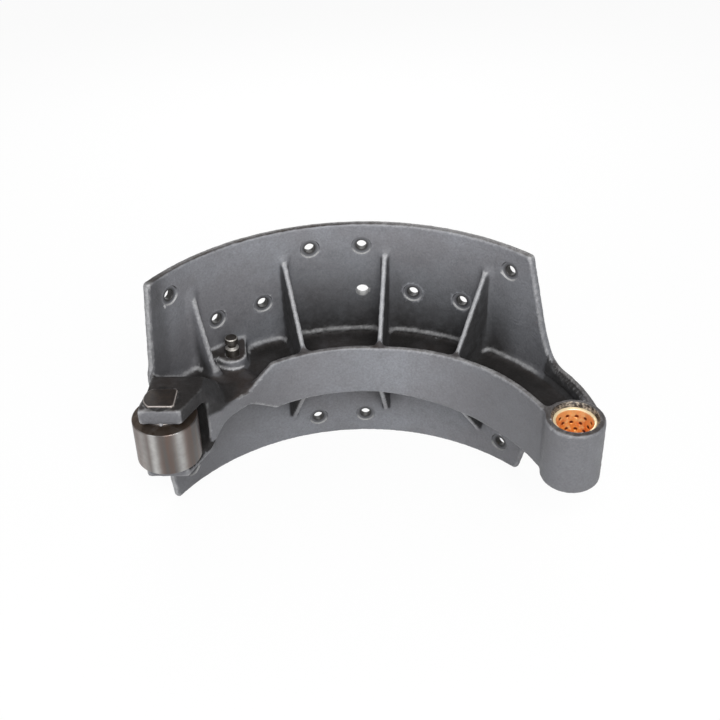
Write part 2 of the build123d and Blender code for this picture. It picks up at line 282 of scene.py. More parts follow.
def bronzeMaterial():
    # Tin bronze strip, rolled, dimpled and wrapped: warm orange gold, painted paler at the rims as
    # a highlight and brighter towards the bore's ends as painted light, with brown grease left in
    # the pockets.
    look = {
        "bronze": "#ffb257",
        "deep": "#ee7a22",
        "gold": "#ffdc9c",
        "rim": "#fae6bd",
        "grease": "#6a2a0e",
        "paintedLightHeights": (6.0, 22.0),    # mm from the web, where the bore is painted brighter towards its ends as light
        "rimHighlightHeights": (22.6, 24.0),    # mm, where the rims are painted pale as a highlight
    }
    patterns = {
        "tarnish": (7.0, 3.0, 0.6),
        "shine": (4.5, 3.0, 0.6),      # burnished places
        # rolling lines are 0.1 mm apart and are drawn coarser so that they show
        "rolled": (0.7, 2.0, 0.5, (1.0, 1.0, 0.15)),
    }
    shares = {"tarnish": ("tarnish", 0.4, 0.6, 0.0, 1.0), "shine": ("shine", 0.5, 0.7, 0.0, 1.0)}
    material, tree, pattern, share = newMaterial("rolledBronze", patterns, shares, Metallic=0.55,
                                                 Roughness=0.36)
    height = addNode(tree, "TexCoord", out="Object")
    height = addNode(tree, "SeparateXYZ", None, {0: height}, "Z")
    height = addNode(tree, "Math", {"operation": "ABSOLUTE"}, {0: height})
    # painted light: the bore is made brighter towards its ends, and the rims pale as a highlight
    low, high = (level * mm for level in look["paintedLightHeights"])
    glow = addNode(tree, "MapRange", {"From Min": low, "From Max": high, "To Max": 0.55},
                   {"Value": height})
    low, high = (level * mm for level in look["rimHighlightHeights"])
    rim = addNode(tree, "MapRange", {"From Min": low, "From Max": high}, {"Value": height})
    grease = addNode(tree, "Attribute", {"attribute_name": "grease"}, out="Fac")
    grease = addNode(tree, "MapRange", {"From Min": 0.05, "From Max": 0.6}, {"Value": grease})
    layers = ["deep", ("bronze", share["tarnish"]), ("gold", share["shine"]), ("gold", glow),
              ("rim", rim), ("grease", grease)]
    return finishMaterial(material, look, layers, pattern["rolled"], (0.3, 0.5),
                          [(pattern["rolled"], 0.35, 0.05)])


def rollerMaterial():
    # Hardened steel, ground: a soft satin grey with fine round grinding lines, bright upright bands
    # of painted reflection, brown tint between them, and dark oil on the ends.
    look = {"reflectionTint": "#b4b3b1", "steel": "#5f5c5a", "tint": "#6a5850", "oil": "#4a3f36"}
    patterns = {
        "streak": (9.0, 3.0, 0.55, (1.0, 1.0, 0.06)),
        "smudge": (6.0, 4.0, 0.65),
        # grinding lines are 0.05 mm apart and are drawn coarser so that they show
        "lines": (0.7, 2.0, 0.6, (0.03, 0.03, 1.0)),
    }
    shares = {
        "steel": ("streak", 0.38, 0.6, 0.0, 1.0),
        "band": ("smudge", 0.3, 0.6, 0.7, 1.0),
        "oil": ("smudge", 0.3, 0.6, 0.75, 1.0),
    }
    material, tree, pattern, share = newMaterial("groundSteel", patterns, shares, Metallic=0.85,
                                                 Roughness=0.33)
    # painted reflection: bright upright bands placed round the roller
    band = addNode(tree, "Attribute", {"attribute_name": "paintedReflection"}, out="Fac")
    band = addNode(tree, "Math", {"operation": "MULTIPLY"}, {0: band, 1: share["band"]})
    normal = addNode(tree, "NewGeometry", out="Normal")
    ends = addNode(tree, "SeparateXYZ", None, {0: normal}, "Z")
    ends = addNode(tree, "Math", {"operation": "ABSOLUTE"}, {0: ends})
    ends = addNode(tree, "MapRange", {"From Min": 0.93, "From Max": 0.99}, {"Value": ends})
    oil = addNode(tree, "Math", {"operation": "MULTIPLY"}, {0: share["oil"], 1: ends})
    layers = ["tint", ("steel", share["steel"]), ("reflectionTint", band), ("oil", oil)]
    return finishMaterial(material, look, layers, pattern["lines"], (0.28, 0.4),
                          [(pattern["lines"], 0.35, 0.03)], dull=(oil, 0.25))


def oiledSteelMaterial(name, dark, brown, bright, metallic):
    # Steel, turned or milled and left oily: near black with a brown cast, bright on worn edges, and
    # painted bright as a highlight on faces that tilt up.
    look = {"dark": dark, "brown": brown, "bright": bright, "pit": "#16120f"}
    patterns = {
        "patch": (6.0, 4.0, 0.6),
        "pits": (1.4, 3.0, 0.7),
        "wear": (3.0, 3.0, 0.6),
        "grain": (0.8, 3.0, 0.6),  # tool marks are 0.1 mm apart, drawn coarser so that they show
    }
    shares = {
        "brown": ("patch", 0.4, 0.6, 0.0, 1.0),
        "pit": ("pits", 0.55, 0.75, 0.0, 0.5),
        "wear": ("wear", 0.3, 0.6, 0.6, 1.0),
    }
    material, tree, pattern, share = newMaterial(name, patterns, shares, Metallic=metallic,
                                                 Roughness=0.45)
    edge = addNode(tree, "NewGeometry", out="Pointiness")
    edge = addNode(tree, "MapRange", {"From Min": 0.52, "From Max": 0.58}, {"Value": edge})
    # painted highlight: faces that tilt up, such as bevels and collars, are made bright
    normal = addNode(tree, "NewGeometry", out="Normal")
    facing = addNode(tree, "SeparateXYZ", None, {0: normal}, "Z")
    rise = addNode(tree, "MapRange", {"From Min": 0.15, "From Max": 0.4}, {"Value": facing})
    fall = addNode(tree, "MapRange", {"From Min": 0.84, "From Max": 0.95, "To Min": 1.0,
                                      "To Max": 0.0}, {"Value": facing})
    bevel = addNode(tree, "Math", {"operation": "MULTIPLY"}, {0: rise, 1: fall})
    edge = addNode(tree, "Math", {"operation": "MAXIMUM"}, {0: edge, 1: bevel})
    edge = addNode(tree, "Math", {"operation": "MULTIPLY"}, {0: edge, 1: share["wear"]})
    layers = ["dark", ("brown", share["brown"]), ("pit", share["pit"]), ("bright", edge)]
    return finishMaterial(material, look, layers, pattern["grain"], (0.34, 0.58),
                          [(pattern["grain"], 0.45, 0.1)])


def makePiece(name, mesh, body, node, slot, *materials):
    piece = bpy.data.objects.new(name, mesh)
    scene.collection.objects.link(piece)
    for material in materials:
        mesh.materials.append(material)
    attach(piece, body)
    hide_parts(node)
    return piece


def applyModifier(piece, kind, **values):
    bpy.context.view_layer.objects.active = piece
    modifier = piece.modifiers.new(kind.title(), kind)
    for key, value in values.items():
        setattr(modifier, key, value)
    bpy.ops.object.modifier_apply(modifier=modifier.name)


def roundedProfile(corners, steps=4):
    # corners are (across, along, radius) in mm, taken in order round a closed section
    section = []
    for i, (x, y, radius) in enumerate(corners):
        here = Vector((x, y))
        if radius == 0:
            section.append(here)
            continue
        before = (Vector(corners[i - 1][:2]) - here).normalized()
        after = (Vector(corners[(i + 1) % len(corners)][:2]) - here).normalized()
        half = before.angle(after) / 2
        centre = here + (before + after).normalized() * radius / math.sin(half)
        start = here + before * radius / math.tan(half) - centre
        end = here + after * radius / math.tan(half) - centre
        for step in range(steps + 1):
            section.append(centre + start.slerp(end, step / steps) if start.length else here)
    return section


def latheMesh(name, section, steps, closed=True):
    # turns a section of (across, along) points in mm about its own Z axis
    bm = bmesh.new()
    verts = [bm.verts.new((p[0] * mm, 0, p[1] * mm)) for p in section]
    pairs = list(zip(verts, verts[1:])) + ([(verts[-1], verts[0])] if closed else [])
    edges = [bm.edges.new(pair) for pair in pairs]
    bmesh.ops.spin(bm, geom=verts + edges, cent=(0, 0, 0), axis=(0, 0, 1), angle=2 * math.pi,
                   steps=steps, use_merge=True)
    bmesh.ops.remove_doubles(bm, verts=bm.verts, dist=1e-7)
    bmesh.ops.recalc_face_normals(bm, faces=bm.faces)
    mesh = bpy.data.meshes.new(name)
    bm.to_mesh(mesh)
    bm.free()
    return mesh


def joinMeshes(name, parts):
    # parts are (mesh, matrix) pairs; the meshes are used up
    bm = bmesh.new()
    for mesh, matrix in parts:
        mesh.transform(matrix)
        bm.from_mesh(mesh)
        bpy.data.meshes.remove(mesh)
    joined = bpy.data.meshes.new(name)
    bm.to_mesh(joined)
    bm.free()
    return joined


def cutAway(piece, cutterMesh, index=0):
    # takes the cutter's closed shells off the piece; their faces get the piece's material index
    cutter = bpy.data.objects.new("cutter", cutterMesh)
    scene.collection.objects.link(cutter)
    for slot in piece.data.materials:
        cutterMesh.materials.append(slot)
    cutterMesh.polygons.foreach_set("material_index", [index] * len(cutterMesh.polygons))
    applyModifier(piece, "BOOLEAN", operation="DIFFERENCE", object=cutter, solver="MANIFOLD")
    bpy.data.objects.remove(cutter)
    bpy.data.meshes.remove(cutterMesh)


def smoothPiece(piece, angle):
    piece.data.shade_smooth()
    piece.data.set_sharp_from_angle(angle=math.radians(angle))


# The casting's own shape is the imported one. A level set rolls a ball round it, which leaves the
# radii of a sand casting in every root and on every edge; the machined holes are cut afterwards.
# Lengths are in mm, bearings in degrees from the table's middle, radii from the drum's axis and
# heights from the web. A pair is where something begins and where it is full, or where it starts
# to fade and where it is gone.
casting = {
    "voxel": 1.25,
    "rootRadius": 2.6,            # ribs and lug
    "webRadius": 6.0,             # web to table and flanges
    "webReach": (13.0, 21.0),     # heights over which the one gives way to the other
    "ribTop": (74.0, 92.0),       # heights over which the ribs run out into the table
    "ribRunOut": 0.8,             # share of the web's radius that they end with
    "lug": (-38.0, -25.0, 173.0),  # bearings and radius that bound the spring post's lug
    "lugRadius": 0.15,            # share of the web's radius there
    "edgeRadius": 0.7,
    "crown": 0.9,                 # draft of the inner flange's face, out to its parting line
    "crownHeight": 22.0,
    "skinSize": 4.5,              # sand-cast skin
    "skinHeight": 0.22,
    "triangles": 165000,
    "rivetHole": 8.6,
    "spotFace": 15.6,
    "spotDepth": 1.2,
    "spotLip": 0.6,               # slope of the spot face's lip
    "holeBreak": 8.9,             # the holes' broken edge
    "neckStep": 1.3,              # pattern joint where the table gives way to the neck
    "neckBearing": (59.4, 60.1),
    "neckHeight": (24.0, 20.0),
    "chiselSize": 3.2,            # marks beside the roller's slot, where its edge was dressed
    "chiselHeight": 1.5,
    "dressedFrom": 29.0,          # from the roller's axis
    "dressedWidth": 24.0,
    "dressedHeight": 24.0,
    "plainHole": 10.4,
    "boreSeat": 32.0,
    "boreMouth": 36.0,
    "boreSeatEnd": 24.4,
    "bossHeight": 56.0,
    "pinHole": (14.18, 11.18, 10.78),  # radius, across the flats and to the side flat
    "plainPinHole": 14.15,
    "dirtAndShade": {
        "ball": 26.0,             # a gap that this ball can't enter is painted dark: dirt and painted shade
        "pocket": (1.5, 15.0), "pocketShare": 0.96,
        "table": (174, 178), "tableBack": 182.2, "tableEnd": (74, 77), "tableTop": 97,
        "tableFall": 88, "tableShare": 0.42, "middle": ((-19, -12), (44, 52)), "middleShare": 0.56,
        "step": (59.2, 60.4), "stepTop": 30, "stepShare": 0.9,
        "ribs": ((-47, -45), (60, 64)), "ribFoot": (131, 135), "ribHead": 180.5, "firstRib": -33,
        "flank": (0.6, 0.9), "flankRoot": (3, 7), "flankTop": (40, 95), "flankShare": (0.9, 0.25),
        "fork": (-14.9, -13.4), "forkHeel": (50, 66), "forkTop": (5, 8), "forkSide": (44, 52),
        "forkRise": (4, 18), "forkShare": (0.5, 0.4),
        "slot": (32.4, 34.0), "slotHalf": 21.2, "slotNose": -15.2,
        "underSlot": (38, 40), "underHeights": (-25, -19), "underNose": -14.4,
        "pinSeat": (14.3, 14.9), "pinFloor": 21.6,
        "rivet": (4.4, 6.6), "rivetReach": 8.8, "rivetShare": 0.92,
    },
    "coat": {                     # where the casting is painted darker as shade, and the slot's dressed edge
        "upper": (-5, 5), "table": (170, 174), "ends": (26, 62), "endShare": 0.7,
        "cam": (-40, -10), "camShare": 0.72,
        "eye": (20, 64), "eyeShare": 1.15, "eyeRadius": 165, "neck": (60, 72), "farShare": 0.78,
        "web": (8, 16), "webShare": 0.2, "leastShare": 0.1,
        "slot": (29, 31), "slotWidth": 37, "slotHeights": (-60, 22), "slotHeel": (6, 12),
        "slotSide": 14,
    },
    "highlight": {                      # where the casting is painted bright as a highlight
        "root": (0.3, 0.5), "rootUp": (0.62, 0.8), "rootTable": (171.5, 173), "rootBack": 181.5,
        "rootTop": 40, "rootEnd": (56, 59), "rootShare": 0.5,
        "rib": (0.4, 0.7), "ribRadii": (137, 178), "ribRoot": 13, "ribs": (-46, 50),
        "firstRib": (-37.5, -25), "firstRibFrom": 60, "ribShare": 0.6, "ribUnder": 0.15,
        "end": -50, "endRadius": 180.5, "endFace": (0.75, 0.9), "endHeight": 104, "endShare": 0.55,
        "lugRadii": (152, 172), "lugHeights": (9, 20), "lugUp": (0.85, 0.95), "lugShare": 0.8,
    },
}
table = {"outside": 187.5, "inside": 180.9, "pitch": 13.25, "outerRow": 86.2, "innerRow": 43.9}
rivets = [(c, s * table["outerRow"]) for s in (1, -1) for c in (-3.5, -0.5, 0.5, 3.5)]
rivets += [(c, s * table["innerRow"]) for s in (1, -1) for c in (-2.5, -1.5, 1.5, 2.5)]
plainPlace = (0.5, table["innerRow"])

# Faces that follow arcs along Z: centre from the drum's axis, radius, bearings from and to, and
# what the face carries besides.
arcFaces = [
    ((0, 0), table["outside"], -360, 66, None),
    ((0, 0), table["inside"], -360, 66, "step"),
    ((0, 0), 128.0, -360, 13, "crown"),
    ((0, 0), 133.0, -360, 13, None),
    ((-4.95, -21.44), 150.0, 13, 360, "crown"),
    ((-4.95, -21.44), 155.0, 13, 360, None),
    ((49.15, 21.88), 133.7, 66, 360, None),
    ((49.15, 21.88), 127.1, 66, 360, "step"),
]

fork = {
    "radius": 154.8,              # the roller's axis, from the drum's
    "bearing": -65.5,
    "tilt": -7.2,
    "upperEar": (21.4, 34.6),
    "lowerEar": (-29.6, -20.0),
    "nib": (0.3, -15.0, 22.2),    # what is left of the vent, from the roller's axis
    "nibLean": 65.0,
}
forkPlace = drumPoint(fork["radius"], fork["bearing"])
forkTurn = Matrix.Translation(forkPlace) @ Matrix.Rotation(math.radians(fork["tilt"]), 4, "Z")


def ease(value, start, end):
    part = np.clip((value - start) / (end - start), 0, 1)
    return part * part * (3 - 2 * part)


def fade(value, start, end):
    return 1 - ease(value, start, end)


def within(value, start, end):
    return (value > start) & (value < end)


def meshArrays(mesh):
    mesh.calc_loop_triangles()
    points = np.empty(len(mesh.vertices) * 3, dtype=np.float32)
    mesh.vertices.foreach_get("co", points)
    corners = np.empty(len(mesh.loop_triangles) * 3, dtype=np.int32)
    mesh.loop_triangles.foreach_get("vertices", corners)
    return points.reshape(-1, 3), corners.reshape(-1, 3)


def discMesh(radius, low, high):
    return latheMesh("disc", [(0, low), (radius, low), (radius, high), (0, high)], 48, closed=False)


def radialTurn(column, height):
    # a rivet hole's place in the table's pattern: local Z runs from the drum's axis out through it
    angle = math.radians(column * table["pitch"])
    outward = Vector((math.sin(angle), math.cos(angle), 0))
    turn = Vector((0, 0, 1)).rotation_difference(outward).to_matrix().to_4x4()
    return Matrix.Translation(drumPoint(0, 0, height)) @ turn


def levelSet(points, corners, voxel, band):
    return vdb.FloatGrid.createLevelSetFromPolygons(
        points.astype(np.float32), triangles=corners.astype(np.uint32),
        transform=vdb.createLinearTransform(voxelSize=voxel), halfWidth=band)


def gridSurface(grid, offset):
    points, triangles, quads = grid.convertToPolygons(isovalue=offset, adaptivity=0.0)
    corners = np.concatenate((quads[:, [0, 1, 2]], quads[:, [0, 2, 3]]))
    if len(triangles):
        corners = np.concatenate((corners, triangles))
    return points, corners


def offsetSurface(points, corners, offset, voxel):
    grid = levelSet(points, corners, voxel, max(3.0, abs(offset) / voxel + 2.5))
    return gridSurface(grid, offset)


def closedGrid(points, corners, radius, voxel):
    points, corners = offsetSurface(points, corners, radius, voxel)
    points, corners = offsetSurface(points, corners, -radius, voxel)
    return levelSet(points, corners, voxel, 3.0)


def gridArray(grid, low, size):
    values = np.empty(size, dtype=np.float32)
    grid.copyToArray(values, ijk=low)
    return values


def fillHoles(values):
    # closed plugs in the machined holes, so that rounding their edges doesn't spoil them; they
    # reach a little into the wall and stop just short of its faces
    inside, outside, short = table["inside"], table["outside"] - 0.02, 0.02
    spot, hole = values["spotFace"] / 2 + 0.5, values["rivetHole"] / 2 + 0.3
    parts = [(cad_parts["shoe_casting"].data.copy(), Matrix.Identity(4))]
    for column, height in rivets:
        turn = radialTurn(column, height)
        parts.append((discMesh(spot, inside, 184.0), turn))
        parts.append((discMesh(hole, 183.0, outside), turn))
    plain = discMesh(values["plainHole"] / 2 + 0.3, inside + 0.05, outside)
    parts.append((plain, radialTurn(*plainPlace)))
    for low, high in (fork["upperEar"], fork["lowerEar"]):
        parts.append((discMesh(14.4, low + short, high - short), forkTurn))
    half = values["bossHeight"] / 2
    parts.append((discMesh(values["boreMouth"] / 2 + 0.6, -half, half), Matrix.Identity(4)))
    return joinMeshes("filled", parts)


def roundCasting(values):
    # two closings, with a small ball and a large one, mixed by height; then the edges
    voxel, edge = values["voxel"] * mm, values["edgeRadius"] * mm
    filled = fillHoles(values)
    points, corners = meshArrays(filled)
    bpy.data.meshes.remove(filled)
    low = np.floor(points.min(0) / voxel).astype(int) - 4
    size = tuple(int(n) for n in np.ceil(points.max(0) / voxel).astype(int) + 5 - low)
    low = tuple(int(n) for n in low)
    small, large = (gridArray(closedGrid(points, corners, values[key] * mm, voxel), low, size)
                    for key in ("rootRadius", "webRadius"))
    level = np.abs((np.arange(size[2]) + low[2]) * values["voxel"])
    near, far = values["webReach"]
    begin, full = values["ribTop"]
    runOut = values["ribRunOut"] * np.clip((level - begin) / (full - begin), 0, 1)
    share = np.maximum(ease(level, far, near), runOut)
    east = (np.arange(size[0]) + low[0])[:, None] * values["voxel"] + eyeX
    north = (np.arange(size[1]) + low[1])[None, :] * values["voxel"] + eyeY
    first, last, radius = values["lug"]
    bearing = np.degrees(np.arctan2(east, north))
    lug = within(bearing, first, last) & (np.hypot(east, north) < radius)
    share = share[None, None, :] * np.where(lug, values["lugRadius"], 1.0)[:, :, None]
    grid = vdb.FloatGrid(3.0 * voxel)
    grid.copyFromArray(small + (large - small) * share.astype(np.float32), ijk=low)
    grid.transform = vdb.createLinearTransform(voxelSize=voxel)
    points, corners = gridSurface(grid, -edge)
    return offsetSurface(points, corners, edge, voxel)


def trueUp(points, centre, radius, reach=0.15):
    # draws points that lie nearly on a cylinder along Z exactly onto it
    across = points[:, :2] - np.array(centre) * mm
    length = np.linalg.norm(across, axis=1)
    off = length - radius * mm
    pull = np.clip((reach + 0.1 - np.abs(off) / mm) / 0.1, 0, 1)
    points[:, :2] -= across / length[:, None] * (off * pull)[:, None]
    return pull, across / length[:, None]


def trueFaces(points, values):
    # the arcs of the table, flange and neck, with the neck's pattern joint and the flange's crown
    bearing = np.degrees(np.arctan2(points[:, 0] / mm + eyeX, points[:, 1] / mm + eyeY))
    height = np.abs(points[:, 2] / mm)
    begin, full = values["neckBearing"]
    top, low = values["neckHeight"]
    for (x, y), radius, first, last, carries in arcFaces:
        where = (bearing >= first) & (bearing < last)
        chosen = points[where]
        pull, outward = trueUp(chosen, (x - eyeX, y - eyeY), radius)
        if carries == "step":
            step = np.clip((bearing[where] - begin) / (full - begin), 0, 1)
            step = step * np.clip((top - height[where]) / (top - low), 0, 1)
            chosen[:, :2] -= outward * (values["neckStep"] * mm * step * pull)[:, None]
        if carries == "crown":
            swell = np.clip(1 - height[where] / values["crownHeight"], 0, 1)
            swell = values["crown"] * mm * swell * pull
            ends = np.clip((80 - bearing[where]) / 12, 0, 1)
            ends = ends * np.clip((bearing[where] + 46) / 8, 0, 1)
            chosen[:, :2] -= outward * (swell * ends)[:, None]
        points[where] = chosen


def roughenCasting(piece, points, values):
    # sand-cast skin all over, chisel marks where the slot's edge was dressed
    skin = bpy.data.textures.new("sandSkin", "CLOUDS")
    skin.noise_scale = values["skinSize"] * mm
    skin.noise_depth = 2
    applyModifier(piece, "DISPLACE", texture=skin, texture_coords="LOCAL", mid_level=0.5,
                  strength=values["skinHeight"] * 2 * mm)
    chisel = bpy.data.textures.new("chiselMarks", "CLOUDS")
    chisel.noise_scale = values["chiselSize"] * mm
    place = points[:, :2] / mm - np.array((forkPlace.x, forkPlace.y)) / mm
    reach = np.linalg.norm(place, axis=1)
    begin, end = values["dressedFrom"], values["dressedFrom"] + values["dressedWidth"]
    dressed = np.clip((reach - begin) / 2, 0, 1) * np.clip((end - reach) / 14, 0, 1)
    dressed *= np.abs(points[:, 2] / mm) < values["dressedHeight"]
    dressed *= np.clip((12 - place[:, 1]) / 6, 0, 1)
    group = piece.vertex_groups.new(name="dressed")
    for index in np.nonzero(dressed > 0.02)[0]:
        group.add([int(index)], float(dressed[index]), "REPLACE")
    applyModifier(piece, "DISPLACE", texture=chisel, texture_coords="LOCAL", mid_level=0.5,
                  strength=values["chiselHeight"] * 2 * mm, vertex_group="dressed")


def drillTable(piece, values):
    # spot faces with sloped lips, rivet holes with broken edges, and the plain hole
    slope, floor = values["spotLip"], table["inside"] + values["spotDepth"]
    past = table["outside"] + 4.5
    spot, hole = values["spotFace"] / 2 - 0.4, values["rivetHole"] / 2 - 0.2
    lip = spot + 2 * slope
    section = [
        (0, floor - 7), (lip + 5 * slope, floor - 7), (lip, floor - 2), (spot, floor),
        (values["holeBreak"] / 2, floor), (hole, floor + 0.4), (hole, past), (0, past),
    ]
    holes = [(latheMesh("spot", section, 48, closed=False), radialTurn(*place)) for place in rivets]
    holes.append((discMesh(values["plainHole"] / 2, 170.0, past), radialTurn(*plainPlace)))
    cutAway(piece, joinMeshes("spots", holes), 2)


def boreEye(piece, values):
    # the bush's seat and the lead-in at each end
    half, end = values["bossHeight"] / 2, values["boreSeatEnd"]
    seat, mouth = values["boreSeat"] / 2, values["boreMouth"] / 2
    upper = [(seat, end), (mouth - 0.1, half - 0.1), (mouth + 0.3, half + 0.3),
             (mouth + 0.3, half + 2), (0, half + 2)]
    lower = [(x, -z) for x, z in reversed(upper)]
    cutAway(piece, latheMesh("bore", lower + upper, 96, closed=False), 1)


def drillFork(piece, values):
    # the pin's hole has flats in the upper ear and is round in the lower one
    upper = pinMesh("upperPinHole", *values["pinHole"], 18.0, 40.0)
    for hole in (upper, discMesh(values["plainPinHole"], -40.0, -15.0)):
        hole.transform(forkTurn)
        cutAway(piece, hole)


def makeCasting(values):
    points, corners = roundCasting(values)
    print("casting rounded:", len(points), "points")
    trueFaces(points, values)
    mesh = bpy.data.meshes.new("castBody")
    mesh.from_pydata(points.tolist(), [], corners[:, ::-1].tolist())
    piece = makePiece("castBody", mesh, "shoe", "shoe_casting", "painted_casting",
                      castIronMaterial(), machinedIronMaterial(), spotFacedMaterial())
    roughenCasting(piece, points, values)
    applyModifier(piece, "DECIMATE", ratio=values["triangles"] / len(mesh.polygons))
    print("casting thinned:", len(piece.data.polygons), "triangles")
    drillTable(piece, values)
    boreEye(piece, values)
    drillFork(piece, values)
    smoothPiece(piece, 38)
    markCasting(piece, values)
    addNib(piece, fork)


def pinMesh(name, radius, across, side, low, high, rounding=0.0):
    # a round bar with three flats, along Z
    outline = []
    for step in range(96):
        turn = math.radians(step * 360 / 96)
        x, y = radius * math.cos(turn), radius * math.sin(turn)
        outline.append((min(x, side), max(-across, min(across, y))))
    bm = bmesh.new()
    ring = [bm.verts.new((x * mm, y * mm, low * mm)) for x, y in outline]
    base = bm.faces.new(ring)
    top = bmesh.ops.extrude_face_region(bm, geom=[base])
    raised = [g for g in top["geom"] if isinstance(g, bmesh.types.BMVert)]
    bmesh.ops.translate(bm, verts=raised, vec=(0, 0, (high - low) * mm))
    bmesh.ops.recalc_face_normals(bm, faces=bm.faces)
    if rounding:
        rim = [e for e in bm.edges if all(abs(v.co.z - high * mm) < 1e-6 for v in e.verts)]
        bmesh.ops.bevel(bm, geom=rim, offset=rounding * mm, segments=4, profile=0.6, affect="EDGES")
    mesh = bpy.data.meshes.new(name)
    bm.to_mesh(mesh)
    bm.free()
    return mesh


def ballGap(points, corners, ball):
    # how far each point lies from where a ball of this radius can roll, in metres
    voxel, ball = 3 * mm, ball * mm
    shell, faces = offsetSurface(points, corners, ball, voxel)
    grid = levelSet(shell, faces, voxel, (ball + 30 * mm) / voxel)
    low = np.floor(points.min(0) / voxel).astype(int) - 2
    size = np.ceil(points.max(0) / voxel).astype(int) + 3 - low
    cells = gridArray(grid, tuple(int(n) for n in low), tuple(int(n) for n in size))
    place = points / voxel - low
    cell = np.floor(place).astype(int)
    part = place - cell
    distance = np.zeros(len(points))
    for corner in range(8):
        step = np.array([(corner >> axis) & 1 for axis in range(3)])
        weight = np.prod(np.where(step, part, 1 - part), axis=1)
        distance += weight * cells[tuple((cell + step).T)]
    return -distance - ball


def surfacePlaces(mesh):
    # where each point is and faces, from the drum's axis and, across and along the fork, from
    # the roller's
    points, corners = meshArrays(mesh)
    x, y, z = (points / mm).T
    normals = np.empty(len(points) * 3, dtype=np.float32)
    mesh.vertex_normals.foreach_get("vector", normals)
    nx, ny, nz = normals.reshape(-1, 3).T
    radial = np.hypot(x + eyeX, y + eyeY)
    turned = nx * (y + eyeY) - ny * (x + eyeX)
    right, ahead = np.array((x - forkPlace.x / mm, y - forkPlace.y / mm))
    tilt = math.radians(fork["tilt"])
    return SimpleNamespace(
        points=points, corners=corners, east=x + eyeX, north=y + eyeY, z=z, up=nz, radial=radial,
        bearing=np.degrees(np.arctan2(x + eyeX, y + eyeY)), reach=np.hypot(right, ahead),
        turned=turned, sideways=np.abs(turned) / np.maximum(radial, 1),
        across=right * math.cos(tilt) + ahead * math.sin(tilt),
        along=ahead * math.cos(tilt) - right * math.sin(tilt))


def dirtAndShadeShare(at, values):
    # dirt and painted shade: deep in the pockets, darker down the table, on the ribs' flanks, on
    # the fork, in its slot and holes
    begin, full = values["pocket"]
    gap = ballGap(at.points, at.corners, values["ball"])
    depth = values["pocketShare"] * ease(gap, begin * mm, full * mm)
    onTable = ease(at.radial, *values["table"]) * (at.radial < values["tableBack"]) * (at.z > 0)
    onTable = onTable * fade(at.bearing, *values["tableEnd"])
    middle = ease(at.bearing, *values["middle"][0]) * fade(at.bearing, *values["middle"][1])
    down = onTable * np.clip((values["tableTop"] - at.z) / values["tableFall"], 0, 1)
    depth = np.maximum(depth, down * (values["tableShare"] + values["middleShare"] * middle))
    neck = onTable * ease(at.bearing, *values["step"]) * (at.z < values["stepTop"])
    depth = np.maximum(depth, neck * values["stepShare"])
    between = ease(at.bearing, *values["ribs"][0]) * fade(at.bearing, *values["ribs"][1])
    between = between * ease(at.radial, *values["ribFoot"]) * (at.radial < values["ribHead"])
    flank = ease(at.sideways, *values["flank"]) * between
    flank = flank * ease(np.abs(at.z), *values["flankRoot"])
    flank = flank * ((at.turned > 0) | (at.bearing > values["firstRib"]))
    most, loss = values["flankShare"]
    depth = np.maximum(depth, flank * (most - loss * ease(at.z, *values["flankTop"])))
    onFork = ease(at.along, *values["fork"]) * fade(at.along, *values["forkHeel"])
    onFork = onFork * ease(at.z, *values["forkTop"]) * fade(at.across, *values["forkSide"])
    least, gain = values["forkShare"]
    depth = np.maximum(depth, onFork * (least + gain * ease(at.across, *values["forkRise"])))
    slot = (np.abs(at.z) < values["slotHalf"]) * (at.along > values["slotNose"])
    under = within(at.z, *values["underHeights"]) * (at.along > values["underNose"])
    seat = at.z > values["pinFloor"]
    for place, where in (("slot", slot), ("underSlot", under), ("pinSeat", seat)):
        depth = np.maximum(depth, fade(at.reach, *values[place]) * where)
    for column, height in rivets:
        axis = radialTurn(column, 0).to_3x3() @ Vector((0, 0, 1))
        out = at.east * axis.x + at.north * axis.y
        aside = np.sqrt(np.maximum(at.radial ** 2 - out ** 2, 0) + (at.z - height) ** 2)
        inHole = values["rivetShare"] * fade(aside, *values["rivet"])
        depth = np.where((aside < values["rivetReach"]) & (out > 0), inHole, depth)
    return depth


def dressedShare(at, values, end):
    dressed = ease(at.reach, *values["slot"]) * fade(at.reach, values["slotWidth"], end)
    dressed = dressed * within(at.z, *values["slotHeights"])
    return dressed * fade(at.along, *values["slotHeel"]) * (at.across > values["slotSide"])


def paintedShadeShare(at, values):
    # painted shade: darker at the ends of the table, the cam end and the eye, and below the upper
    # table
    onUpper = ease(at.z, *values["upper"]) * ease(at.radial, *values["table"])
    darkened = values["endShare"] * ease(np.abs(at.bearing), *values["ends"]) * onUpper
    inEye = ease(at.bearing, *values["eye"]) * values["eyeShare"]
    farEnd = np.where(at.radial < values["eyeRadius"], inEye, ease(at.bearing, *values["neck"]))
    least = values["leastShare"] + values["webShare"] * fade(at.bearing, *values["web"])
    ends = values["camShare"] * fade(at.bearing, *values["cam"]) + values["farShare"] * farEnd
    return darkened + (1 - onUpper) * (least + ends)


